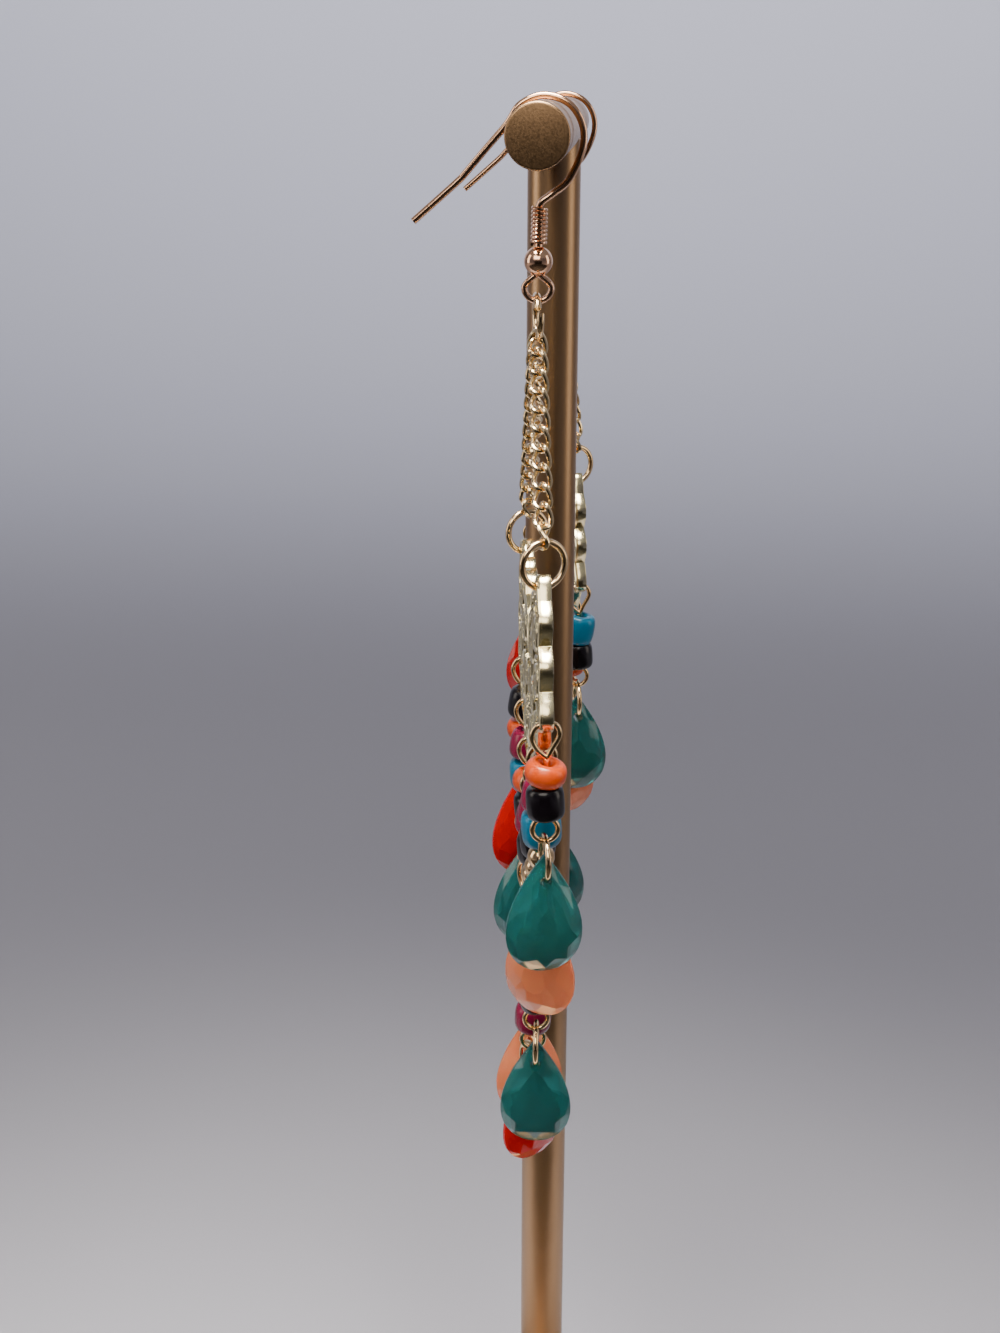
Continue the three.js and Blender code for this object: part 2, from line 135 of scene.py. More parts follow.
# The hook from its tail, over the crossbar and down to its stem, as Y and Z from the bar's axis.
HOOK_ROUTE = [
    (-12.6, -8.2),
    (-10.3, -6.25),
    (-8.2, -4.45),
    (-7.5, -3.75),
    (-5.6, -1.6),
    (-3.45, 0.8),
    (-2.2, 2.55),
    (0, 3.4),
    (2.4, 2.7),
    (3.75, 0.8),
    (3.8, -1.5),
    (2.5, -4.3),
    (0.8, -5.7),
]
STEM_TOP = Vector((0, -0.25, -6.6))
STEM_FOOT = Vector((0, -0.37, -13.5))
STEM_SHARES = (0, 0.25, 0.92)  # where the wire's path is held to the stem's line
COIL = {"start": 0.1, "length": 3.8, "radius": 0.82}
HOOK_LOOP = {"width": 3.4, "height": 3.3, "pinch": 0.62, "pinch_power": 1.5, "wire_share": 0.9}
TOP_RING = {"radius": 2.05, "wire": 0.375, "drop": 17.3, "cut": 0.4, "opening": 0.24, "sprung": 0.3}
PLATE_RING = {"radius": 2.32, "wire": 0.35, "turn": 22, "cut": 2.4, "opening": 0.03}
CHAIN_LINK = {"width": 2.15, "twist": -0.4, "play": 1.12}
# How far each link is swung about the chain, in degrees: each sways a little, and the last hangs across.
LINK_SWING = {"all": -32, "sway": 4, "sway_step": 2.1, "last": 80}

PLATE = {"front": -0.5, "back": 0.7, "edge": 0.1, "upper_hole": 0.85, "lower_hole": 0.65}
PLATE_CREASE = 25  # degrees between facets, above which an edge of the casting looks sharp
PLATE_MIDDLE = -53
# The right half of the scalloped edge: the place where each scallop starts, and how far it bulges.
SCALLOPS = [
    (3.7, -46.9, 1.0),
    (7.2, -44.6, 0.95),
    (9.4, -43.9, 0.5),
    (12.9, -44.5, 2.1),
    (13.5, -48.9, 1.3),
    (14.4, -53.3, 1.3),
    (13.0, -57.9, 2.1),
    (7.4, -61.6, 1.35),
    (2.5, -64.6, 1.35),
]
UPPER_MIDDLE = (0, -51.3)
LOWEST_BULGE = 3.4
UPPER_EYE = (11.1, -43.5)
LOWER_EYES = [
    (-14.4, -56.3),
    (-9.5, -60.0),
    (-4.8, -63.2),
    (0, -65.8),
    (4.8, -63.2),
    (9.5, -60.0),
    (14.4, -56.3),
]

# Scrolls on the right half of the plate: middle, size, turns and the angle where each one starts.
SCROLLS = [
    ((9.6, -48.3), 2.3, 1.9, 100),
    ((5.3, -50.6), 2.1, -1.8, 60),
    ((10.6, -53.3), 2.2, -1.8, 250),
    ((6.0, -56.0), 2.2, 1.9, 60),
    ((1.9, -55.0), 1.7, -1.6, 60),
    ((3.4, -60.4), 1.7, -1.7, 120),
    ((9.9, -57.6), 1.2, 1.3, 20),
]
# Stems that join the scrolls of the right half, each a smooth line through its points.
STEMS = [
    [(11.5, -46.2), (7.6, -47.2), (3.6, -49.2), (0.9, -52.6)],
    [(12.7, -50.2), (8.3, -51.3), (8.2, -54.4), (12.2, -56.4)],
    [(3.4, -53.0), (4.0, -56.6), (5.6, -59.2), (8.6, -59.4)],
    [(0.5, -57.0), (1.2, -59.0), (1.0, -61.0), (2.6, -62.6)],
]
# The raised lines and their wire radii, and the grains with the gaps kept between them.
RIM = {"inset": 0.34, "wire": 0.28}
COLLAR = {"wire": 0.2, "upper_gap": 0.3, "lower_gap": 0.28}
SCROLL = {"wire": 0.3, "lift": 0.05, "closing": 0.86, "points": 40, "eye": 0.5}
STEM_WIRE = 0.24
BORDER = {"inset": 1.75, "wire": 0.16}
GRAIN_ROW = {"inset": 1.05, "grain": 0.3, "spacing": 0.72}
GRAIN_SINK = 0.05
GROUND = {"inset": 2.3, "x": (-14.5, 14.5), "z": (-66, -44), "grain": (0.2, 0.34), "spacing": 1.05}
GROUND_TRIES = 700
FLOWER = {"petals": 6, "ring": 1.15, "height": -58.6, "petal": 0.46, "middle": 0.62}

# Beads by name: radius, height, and how square the edge of the glass is.
BEADS = {
    "orange": (2.14, 2.9, 2.1),
    "black": (1.95, 3.5, 3.4),
    "magenta": (2.1, 3.4, 3.0),
    "turquoise": (2.12, 3.9, 3.0),
    "gold": (1.45, 2.9, 2.0),
}
BEAD_BORE = 0.45
# Half of each bead's own share of its height, and the flatter bead's, whose hole ends are hollowed.
BEAD_FULLNESS = 0.49
FLAT_BEADS = {"orange": 0.42}
BEAD_TILTS = [-9, 4, 6, -5, 8, -4]  # how far the beads of a row slump on their pin, in degrees
BEAD_SWING = 5  # how far a bead may also lean to the side, in degrees
EYE_PIN = {"upper_height": 4.7, "lower_width": 3.15, "overlap": 0.12}
# The pear-shaped upper eye of a pin, bent from the pin's own wire, as Y and Z from the top bead.
EYE_LOOP = [
    (0.0, -0.9),
    (0.12, 0.1),
    (0.55, 1.25),
    (1.2, 2.4),
    (1.35, 3.15),
    (1.0, 3.9),
    (0.1, 4.15),
    (-0.85, 3.85),
    (-1.38, 3.0),
    (-1.3, 2.1),
    (-0.8, 1.2),
    (-0.2, 0.62),
    (0.1, 0.4),
]
DROP_RING = {"radius": 2.3, "cut": 0.9, "opening": 0.035}
TIER_RING_TURN = 30
# A drop's rings of facets, as shares of its width and of its depth, and its other proportions.
TEARDROP_RINGS = [(1.0, 0.0), (0.85, 0.42), (0.63, 0.76), (0.34, 1.0)]
TEARDROP = {"facets": 11, "belly": 0.62, "girdle": 0.22, "girdle_edge": 0.8, "outline_peak": 0.7698}
DROP_HOLE = {"below_tip": 2.7, "radius": 0.62}

# One row for each dangle: beads, the beads of a second row, the drop's colour and its turn.
RIGHT_DANGLES = [
    (["black", "orange"], [], "red", 14),
    (["magenta", "turquoise", "gold"], [], "teal", -10),
    (["orange", "black", "gold"], ["orange", "black", "magenta"], "peach", 8),
    (["magenta", "black", "gold"], ["orange", "black", "magenta"], "red", 30),
    (["magenta", "black", "gold"], ["turquoise", "black"], "teal", -6),
    (["magenta", "turquoise", "gold"], [], "peach", -28),
    (["orange", "black"], [], "teal", 5),
]
LEFT_DANGLES = [
    (["black", "orange"], [], "red", -8),
    (["magenta", "turquoise", "gold"], [], "teal", 12),
    (["orange", "black", "gold"], ["orange", "black", "magenta"], "peach", -6),
    (["magenta", "black", "gold"], ["orange", "black", "magenta"], "red", -4),
    (["magenta", "black", "gold"], ["turquoise", "black"], "teal", 8),
    (["turquoise", "orange", "gold"], [], "peach", 10),
    (["turquoise", "black"], [], "teal", -5),
]

# Each earring: its side of the post, its turn about the vertical, its plate's lean, its dangles.
EARRINGS = {
    "right": (1, 7.5, 6.6, RIGHT_DANGLES),
    "left": (-1, 15, -2, LEFT_DANGLES),
}


# ---------------------------------------------------------------- the studio's layout, in metres

SWEEP = {"flat": 0.75, "bend": 0.9, "top": 1.1, "steps": 12}
WORLD = {"tint": "C9CAD4", "strength": 0.36}
MIDDLE = (0, 0, 0.14)
# Softboxes: name, place, aim, width, height, watts, tint and the angle that its grid lets through.
SOFTBOXES = [
    ("overhead", (0.12, -0.02, 0.45), (0.12, -0.02, 0), 0.2, 0.2, 1.1, "FFF8F0", 62),
    ("key_front", (0.62, -0.12, 0.62), MIDDLE, 0.6, 0.35, 3.2, "FFF5E8", 180),
    ("left", (0.1, -0.8, 0.4), MIDDLE, 0.3, 0.7, 2.0, "FFF5EA", 180),
    ("right", (0.05, 0.8, 0.35), MIDDLE, 0.3, 0.7, 1.4, "FFF3E6", 180),
    ("wall_wash", (-0.4, 0, 1.5), (-1.6, 0, 0.8), 1.6, 0.3, 27.0, "F6F7FF", 120),
]
# Black cards: name, place, aim, width and height.
CARDS = [
    ("card_behind_camera", (0.62, 0.04, 0.1), (0, 0.04, 0.1), 0.7, 0.36),
    ("card_on_floor", (0.45, 0.02, 0.002), (0.45, 0.02, 1), 0.8, 0.9),
]
CARD_TONE = 0.01
CAMERA = {"place": (0.186, 0.0079, 0.218), "towards": 4.3, "down": 20, "lens": 42.9}


# ---------------------------------------------------------------- materials


def add_node(tree, kind, inputs=None, **settings):
    """Adds a node with its settings, and gives its inputs their values or links."""
    made = tree.nodes.new(kind)
    for name, value in settings.items():
        setattr(made, name, value)
    for socket, value in (inputs or {}).items():
        if isinstance(value, bpy.types.NodeSocket):
            tree.links.new(value, made.inputs[socket])
        else:
            made.inputs[socket].default_value = value
    return made


def new_material(name, inputs):
    """A material with one principled shader. Returns the material, its tree and the shader."""
    made = bpy.data.materials.new(name)
    made.use_nodes = True
    tree = made.node_tree
    tree.nodes.clear()
    shader = add_node(tree, "ShaderNodeBsdfPrincipled", inputs)
    add_node(tree, "ShaderNodeOutputMaterial", {"Surface": shader.outputs[0]})
    return made, tree, shader


def opaque(colour):
    """A colour with full alpha."""
    return (*colour, 1)


def satin_anodised_aluminium(colours):
    """Aluminium, blasted and gold anodised: a soft metal sheen with a fine peppered grain."""
    made, tree, shader = new_material(
        "satin anodised aluminium", {"Metallic": 1, "Roughness": 0.33, "Base Color": opaque(colours.stand)}
    )
    place = add_node(tree, "ShaderNodeTexCoord").outputs["Object"]
    # The blasted grain is about 0.2 mm across.
    grain = add_node(tree, "ShaderNodeTexNoise", {"Vector": place, "Scale": 1 / (0.2 * MM), "Detail": 2})
    tone = add_node(
        tree,
        "ShaderNodeMapRange",
        {"Value": grain.outputs[0], "From Min": 0.3, "From Max": 0.7, "To Min": 0.3, "To Max": 0.4},
    )
    tree.links.new(tone.outputs[0], shader.inputs["Roughness"])
    relief = add_node(
        tree, "ShaderNodeBump", {"Height": grain.outputs[0], "Strength": 0.12, "Distance": 0.02 * MM}
    )
    tree.links.new(relief.outputs[0], shader.inputs["Normal"])
    return made


def polished_plating(name, colour, roughness):
    """Steel wire plated and barrel polished: sharp bright and dark reflections in warm gold."""
    return new_material(name, {"Metallic": 1, "Roughness": roughness, "Base Color": opaque(colour)})[0]


def cast_gold_plating(colours):
    """Zinc alloy, spin cast and plated: bright gold whose skin keeps the mould's slight ripple."""
    made, tree, shader = new_material(
        "cast gold plating", {"Metallic": 1, "Roughness": 0.2, "Base Color": opaque(colours.plate)}
    )
    place = add_node(tree, "ShaderNodeTexCoord").outputs["Object"]
    # The ripple of the mould is about 0.8 mm across.
    ripple = add_node(tree, "ShaderNodeTexNoise", {"Vector": place, "Scale": 1 / (0.8 * MM), "Detail": 3})
    relief = add_node(
        tree, "ShaderNodeBump", {"Height": ripple.outputs[0], "Strength": 0.3, "Distance": 0.05 * MM}
    )
    tree.links.new(relief.outputs[0], shader.inputs["Normal"])
    return made


# How much of the plate's red, green and blue the ground keeps: painted shade, darkening the recess between
# the scrolls.
GROUND_PAINTED_SHADE = (0.42, 0.38, 0.3)


def shaded_ground(colours):
    """The plated ground between the scrolls, left matt and darkened with painted shade for its recess, so
    the scrolls stand out.
    """
    ground = tuple(share * tone for share, tone in zip(colours.plate, GROUND_PAINTED_SHADE))
    return new_material(
        MATERIAL_NAMES["ground"], {"Metallic": 1, "Roughness": 0.42, "Base Color": opaque(ground)}
    )[0]


def fired_glass(name, colour, roughness):
    """Opaque glass, drawn, cut and fire polished: deep even colour under a soft gloss."""
    return new_material(
        name,
        {
            "Base Color": opaque(colour),
            "Roughness": roughness,
            "IOR": 1.5,
            "Specular IOR Level": 0.35,
            "Coat Weight": 0.12,
            "Coat Roughness": 0.15,
        },
    )[0]


def milky_acrylic(name, colour, clear, milk):
    """Cast acrylic, moulded with facets and polished: dark where it is clear, milky inside."""
    return new_material(
        name,
        {
            "Base Color": opaque(colour),
            "Roughness": 0.09,
            "IOR": 1.49,
            "Transmission Weight": clear,
            "Subsurface Weight": milk,
            "Subsurface Scale": 2.0 * MM,
            "Specular IOR Level": 0.45,
        },
    )[0]


def finish(name):
    """The material of that name, made once."""
    known = bpy.data.materials.get(MATERIAL_NAMES[name])
    return known or MATERIALS[name](bpy.context.scene.earring_colours)


MATERIAL_NAMES = {
    "stand": "satin anodised aluminium",
    "hook": "rose gold plated wire",
    "ring": "pale gold plated wire",
    "chain": "pale gold plated chain",
    "plate": "cast gold plating",
    "ground": "matt gold ground with painted shade",
    "gold": "pale gold plated ball",
    "orange": "orange fired glass",
    "black": "black fired glass",
    "magenta": "magenta fired glass",
    "turquoise": "turquoise fired glass",
    "red": "red milky acrylic",
    "teal": "teal milky acrylic",
    "peach": "peach milky acrylic",
}
MATERIALS = {
    "stand": satin_anodised_aluminium,
    "hook": lambda c: polished_plating(MATERIAL_NAMES["hook"], c.hook, 0.13),
    "ring": lambda c: polished_plating(MATERIAL_NAMES["ring"], c.ring, 0.14),
    "chain": lambda c: polished_plating(MATERIAL_NAMES["chain"], c.chain, 0.16),
    "plate": cast_gold_plating,
    "ground": shaded_ground,
    "gold": lambda c: polished_plating(MATERIAL_NAMES["gold"], c.ring, 0.12),
    "orange": lambda c: fired_glass(MATERIAL_NAMES["orange"], c.orange, 0.3),
    "black": lambda c: fired_glass(MATERIAL_NAMES["black"], c.black, 0.24),
    "magenta": lambda c: fired_glass(MATERIAL_NAMES["magenta"], c.magenta, 0.26),
    "turquoise": lambda c: fired_glass(MATERIAL_NAMES["turquoise"], c.turquoise, 0.28),
    "red": lambda c: milky_acrylic(MATERIAL_NAMES["red"], c.red, 0.25, 0.35),
    "teal": lambda c: milky_acrylic(MATERIAL_NAMES["teal"], c.teal, 0.62, 0.3),
    "peach": lambda c: milky_acrylic(MATERIAL_NAMES["peach"], c.peach, 0.55, 0.3),
}


# ---------------------------------------------------------------- drawing


def new_edges(geom):
    """The edges among newly extruded geometry that run between two new vertices, and those vertices."""
    verts = {g for g in geom if isinstance(g, bmesh.types.BMVert)}
    edges = [g for g in geom if isinstance(g, bmesh.types.BMEdge) and all(v in verts for v in g.verts)]
    return edges, list(verts)


def draw_wire(bm, path, radius, sides=12, closed=False):
    """Draws a round wire: a circle is extruded, turned and moved from point to point of the path."""
    path = [Vector(point) for point in path]
    count = len(path)

    def heading(i):
        if closed:
            return (path[(i + 1) % count] - path[i - 1]).normalized()
        return (path[min(i + 1, count - 1)] - path[max(i - 1, 0)]).normalized()

    start = Matrix.Translation(path[0]) @ heading(0).to_track_quat("Z", "Y").to_matrix().to_4x4()
    verts = bmesh.ops.create_circle(bm, segments=sides, radius=radius, matrix=start)["verts"]
    first = list({edge for vert in verts for edge in vert.link_edges})
    edges = first
    for i in range(1, count):
        edges, verts = new_edges(bmesh.ops.extrude_edge_only(bm, edges=edges)["geom"])
        turn = heading(i - 1).rotation_difference(heading(i)).to_matrix()
        bmesh.ops.rotate(bm, verts=verts, cent=path[i - 1], matrix=turn)
        bmesh.ops.translate(bm, verts=verts, vec=path[i] - path[i - 1])
    if closed:
        bmesh.ops.bridge_loops(bm, edges=edges + first)
    else:
        bmesh.ops.edgeloop_fill(bm, edges=first)
        bmesh.ops.edgeloop_fill(bm, edges=edges)


def smooth_path(points, steps):
    """Points along a smooth curve that passes through the given ones."""
    points = [Vector(p) for p in points]
    ends = [2 * points[0] - points[1], *points, 2 * points[-1] - points[-2]]
    path = []
    for a, b, c, d in zip(ends, ends[1:], ends[2:], ends[3:]):
        for k in range(steps):
            t = k / steps
            square, cube = 2 * a - 5 * b + 4 * c - d, 3 * b - a - 3 * c + d
            path.append(0.5 * (2 * b + (c - a) * t + square * t**2 + cube * t**3))
    return [*path, points[-1]]


def circle_path(radius, steps=48, opening=0.0, cut=0.0, sprung=0.0):
    """A ring in the YZ plane. An opened one is cut at an angle from +Y, and its ends are sprung apart."""
    span = 2 * math.pi - opening
    count = steps if not opening else steps + 1
    path = []
    for i in range(count):
        angle = cut + opening / 2 + span * i / steps
        aside = sprung * (0.5 - i / steps)
        path.append(Vector((aside, radius * math.cos(angle), radius * math.sin(angle))))
    return path


def stamp(bm, template, placing):
    """Adds a copy of a finished mesh, set in place by a matrix."""
    before = len(bm.verts)
    bm.from_mesh(template)
    bm.verts.ensure_lookup_table()
    bmesh.ops.transform(bm, matrix=placing, verts=bm.verts[before:])


def make_piece(name, bm, placing, finishes, nodes=(), crease=35):
    """Turns a drawing into a piece: sets it in place, closes its normals and gives it its finish."""
    bmesh.ops.recalc_face_normals(bm, faces=bm.faces)
    bmesh.ops.transform(bm, matrix=placing, verts=bm.verts)
    mesh = bpy.data.meshes.new(name)
    bm.to_mesh(mesh)
    bm.free()
    for each in finishes:
        mesh.materials.append(finish(each))
    if crease:
        mesh.shade_smooth()
        mesh.set_sharp_from_angle(angle=math.radians(crease))
    piece = bpy.data.objects.new(name, mesh)
    bpy.context.scene.collection.objects.link(piece)
    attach(piece, "root")
    if nodes:
        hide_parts(*nodes)
    return piece


def millimetres(length):
    """A property's length in millimetres."""
    return length / MM


def hook_place(side):
    """Where a hook's own frame stands: on the crossbar's axis."""
    return Matrix.Translation(Vector((side * HOOK_SPACING, 0, BAR_HEIGHT)) * MM) @ Matrix.Scale(MM, 4)


def hanging_place(side, yaw):
    """Where everything below a hook hangs, turned about the vertical through the hook's foot."""
    foot = Vector((side * HOOK_SPACING, STEM_FOOT.y, BAR_HEIGHT)) * MM
    return Matrix.Translation(foot) @ Matrix.Rotation(math.radians(yaw), 4, "Z") @ Matrix.Scale(MM, 4)


def leaned(point, lean):
    """Where a point of the plate lies once the plate leans in its own plane."""
    x, up = point[0], point[1] - PLATE_MIDDLE
    c, s = math.cos(math.radians(lean)), math.sin(math.radians(lean))
    return Vector((x * c - up * s, 0, x * s + up * c + PLATE_MIDDLE))


# ---------------------------------------------------------------- the stand


def rod(bm, radius, low, high, edge, sides=64):
    """A round bar along Z with eased ends."""
    middle = Matrix.Translation((0, 0, (low + high) / 2))
    bmesh.ops.create_cone(
        bm,
        cap_ends=True,
        segments=sides,
        radius1=radius,
        radius2=radius,
        depth=high - low,
        matrix=middle,
    )
    rims = [e for e in bm.edges if abs(e.verts[0].co.z - e.verts[1].co.z) < 1e-6]
    bmesh.ops.bevel(
        bm,
        geom=rims,
        offset=edge,
        segments=4,
        profile=0.5,
        affect="EDGES",
        material=-1,
        clamp_overlap=True,
    )


class EARRING_OT_stand(Operator):
    """Build the round foot, the post and the crossbar"""

    bl_idname = "earring.stand"
    bl_label = "Stand"

    def execute(self, context):
        upright = Matrix.Scale(MM, 4)
        bm = bmesh.new()
        rod(bm, FOOT_RADIUS, 0, FOOT_TOP, EASED_EDGES["foot"], 128)
        make_piece("base_disc", bm, upright, ["stand"], ["stand_base"])
        bm = bmesh.new()
        rod(bm, BAR_RADIUS, FOOT_TOP, BAR_HEIGHT - POST_SINK * BAR_RADIUS, EASED_EDGES["post"])
        make_piece("upright_post", bm, upright, ["stand"], ["stand_post"])
        bm = bmesh.new()
        rod(bm, BAR_RADIUS, -BAR_LENGTH / 2, BAR_LENGTH / 2, EASED_EDGES["bar"])
        lying = Matrix.Translation((0, 0, BAR_HEIGHT * MM)) @ Matrix.Rotation(math.pi / 2, 4, "Y") @ upright
        make_piece("top_crossbar", bm, lying, ["stand"], ["stand_crossbar"])
        return {"FINISHED"}


# ---------------------------------------------------------------- ear hooks


def on_stem(distance):
    """The place on the hook's stem, a distance down from its top, with Z along the stem."""
    down = (STEM_FOOT - STEM_TOP).normalized()
    turn = (-down).to_track_quat("Z", "X").to_matrix().to_4x4()
    return Matrix.Translation(STEM_TOP + down * distance) @ turn


def pinched_loop(width, height, wire):
    """The path of a pear-shaped loop in the YZ plane whose pinched end is at the top."""
    across, up = width / 2 - wire, height / 2 - wire
    path = []
    for i in range(48):
        angle = 2 * math.pi * i / 48
        pinch = 1 - HOOK_LOOP["pinch"] * max(0, math.sin(angle)) ** HOOK_LOOP["pinch_power"]
        path.append(Vector((0, across * math.cos(angle) * pinch, up * (math.sin(angle) - 1))))
    return path


class EARRING_OT_hooks(Operator):
    """Build each ear hook's wire and loop, its coil and its ball"""

    bl_idname = "earring.hooks"
    bl_label = "Ear hooks"

    def execute(self, context):
        sizes = context.scene.earring_sizes
        wire = millimetres(sizes.hook_wire) / 2
        coil_wire = millimetres(sizes.coil_wire) / 2
        ball = millimetres(sizes.ball) / 2
        for name, (side, _, _, _) in EARRINGS.items():
            place = hook_place(side)
            bm = bmesh.new()
            route = [(0, y, z) for y, z in HOOK_ROUTE]
            down = [STEM_TOP.lerp(STEM_FOOT, share) for share in STEM_SHARES]
            draw_wire(bm, smooth_path([*route, *down], 8), wire, 16)
            loop_top = STEM_FOOT.z + wire
            loop = [
                point + Vector((0, STEM_FOOT.y, loop_top))
                for point in pinched_loop(HOOK_LOOP["width"], HOOK_LOOP["height"], wire)
            ]
            draw_wire(bm, loop, wire * HOOK_LOOP["wire_share"], 14, closed=True)
            make_piece(f"{name}_hook_wire", bm, place, ["hook"], [f"{name}_ear_hook"])

            bm = bmesh.new()
            turns, radius = sizes.coil_turns, COIL["radius"] - coil_wire
            steps = 20 * turns
            helix = []
            for i in range(steps + 1):
                angle = 2 * math.pi * turns * i / steps
                drop = coil_wire + (COIL["length"] - 2 * coil_wire) * i / steps
                helix.append(Vector((radius * math.cos(angle), radius * math.sin(angle), -drop)))
            draw_wire(bm, helix, coil_wire, 10)
            make_piece(
                f"{name}_coil",
                bm,
                place @ on_stem(COIL["start"]),
                ["hook"],
                [f"{name}_hook_coil"],
            )

            bm = bmesh.new()
            bmesh.ops.create_uvsphere(bm, u_segments=48, v_segments=28, radius=ball)
            below = COIL["start"] + COIL["length"] + ball
            make_piece(
                f"{name}_ball",
                bm,
                place @ on_stem(below),
                ["hook"],
                [f"{name}_hook_ball"],
            )
        return {"FINISHED"}


# ---------------------------------------------------------------- rings and chains


def link_mesh(reach, wire):
    """One curb link, an oval bent so that it lies flat against the next. Its length runs along Z."""
    across = CHAIN_LINK["width"] / 2 - wire
    path = []
    for i in range(28):
        angle = 2 * math.pi * i / 28
        bend = CHAIN_LINK["twist"] * math.sin(2 * angle)
        path.append(Vector((across * math.cos(angle), bend, reach * math.sin(angle))))
    bm = bmesh.new()
    draw_wire(bm, path, wire, 10, closed=True)
    bmesh.ops.recalc_face_normals(bm, faces=bm.faces)
    mesh = bpy.data.meshes.new("curb_link")
    bm.to_mesh(mesh)
    bm.free()
    return mesh


def chain(start, end, pitch, wire):
    """Links from one ring's wire to another's, each hooked in the last. Returns the drawing."""
    along = (start - end).normalized()
    top = start + along * (TOP_RING["wire"] + wire)
    foot = end - along * (PLATE_RING["wire"] + wire)
    length = (top - foot).length
    play = 2 * wire * CHAIN_LINK["play"]
    count = round((length - play) / pitch)
    reach = (length + (count - 1) * play) / (2 * count)
    template = link_mesh(reach, wire)
    broad = Vector((0, 1, 0))
    turn = Matrix((broad, along.cross(broad), along)).transposed().to_4x4()
    bm = bmesh.new()
    for i in range(count):
        middle = top - along * (reach + i * (2 * reach - play))
        swing = LINK_SWING["all"] + LINK_SWING["sway"] * math.sin(LINK_SWING["sway_step"] * i)
        if i == count - 1:
            swing = LINK_SWING["last"]
        stamp(bm, template, Matrix.Translation(middle) @ turn @ Matrix.Rotation(math.radians(swing), 4, "Z"))
    bpy.data.meshes.remove(template)
    return bm


class EARRING_OT_rings_and_chains(Operator):
    """Build the open ring under each hook, both chains and the rings that carry the plate"""

    bl_idname = "earring.rings_and_chains"
    bl_label = "Rings and chains"

    def execute(self, context):
        sizes = context.scene.earring_sizes
        pitch = millimetres(sizes.chain_pitch)
        wire = millimetres(sizes.chain_wire) / 2
        for name, (side, yaw, lean, _) in EARRINGS.items():
            place = hanging_place(side, yaw)
            bm = bmesh.new()
            opened = (TOP_RING["opening"], TOP_RING["cut"], TOP_RING["sprung"])
            draw_wire(bm, circle_path(TOP_RING["radius"], 48, *opened), TOP_RING["wire"], 16)
            flat = Matrix.Rotation(-math.pi / 2, 4, "Z")
            lowered = Matrix.Translation((0, 0, -TOP_RING["drop"]))
            make_piece(
                f"{name}_open_ring",
                bm,
                place @ lowered @ flat,
                ["ring"],
                [f"{name}_top_ring"],
            )
            start = Vector((0, 0, -TOP_RING["drop"] - TOP_RING["radius"]))
            for end, across in (("outer", side), ("inner", -side)):
                eye = leaned((across * UPPER_EYE[0], UPPER_EYE[1]), lean)
                middle = eye + Vector((0, 0, PLATE_RING["radius"]))
                bm = bmesh.new()
                path = circle_path(PLATE_RING["radius"], 48, PLATE_RING["opening"], PLATE_RING["cut"])
                draw_wire(bm, path, PLATE_RING["wire"], 16)
                turn = Matrix.Rotation(math.radians(PLATE_RING["turn"]), 4, "Z")
                make_piece(
                    f"{name}_{end}_jump_ring",
                    bm,
                    place @ Matrix.Translation(middle) @ turn,
                    ["ring"],
                    [f"{name}_plate_ring_{end}"],
                )
                foot = eye + Vector((0, 0, 2 * PLATE_RING["radius"]))
                make_piece(
                    f"{name}_{end}_curb_chain",
                    chain(start, foot, pitch, wire),
                    place,
                    ["chain"],
                    [f"{name}_chain_{end}"],
                )
        return {"FINISHED"}


# ---------------------------------------------------------------- plates


def plate_outline(inset=0.0, steps=8):
    """The plate's scalloped outline, clockwise from the middle of its upper edge, drawn in by an inset."""
    right = [UPPER_MIDDLE, *[(x, z) for x, z, _ in SCALLOPS]]
    corners = right + [(-x, z) for x, z, _ in reversed(SCALLOPS)]
    half = [bulge for _, _, bulge in SCALLOPS]
    bulges = [*half, LOWEST_BULGE, *reversed(half)]
    points = []
    for i, corner in enumerate(corners):
        here, there = Vector(corner), Vector(corners[(i + 1) % len(corners)])
        across = there - here
        outward = Vector((-across.y, across.x)).normalized()
        for k in range(steps):
            t = k / steps
            points.append(here + across * t + outward * bulges[i] * math.sin(math.pi * t))
    drawn = []
    for i, point in enumerate(points):
        along = (points[(i + 1) % len(points)] - points[i - 1]).normalized()
        drawn.append(point + Vector((along.y, -along.x)) * inset)
    return drawn


def inside(point, outline):
    """Whether a point lies inside a closed outline."""
    within = False
    for i, b in enumerate(outline):
        a = outline[i - 1]
        if (a.y > point.y) != (b.y > point.y):
            if point.x < (b.x - a.x) * (point.y - a.y) / (b.y - a.y) + a.x:
                within = not within
    return within


def granule(bm, x, z, radius, smooth=2):
    """A cast grain on the plate's face."""
    bmesh.ops.create_icosphere(
        bm,
        subdivisions=smooth,
        radius=radius,
        matrix=Matrix.Translation((x, PLATE["front"] + GRAIN_SINK, z)),
    )


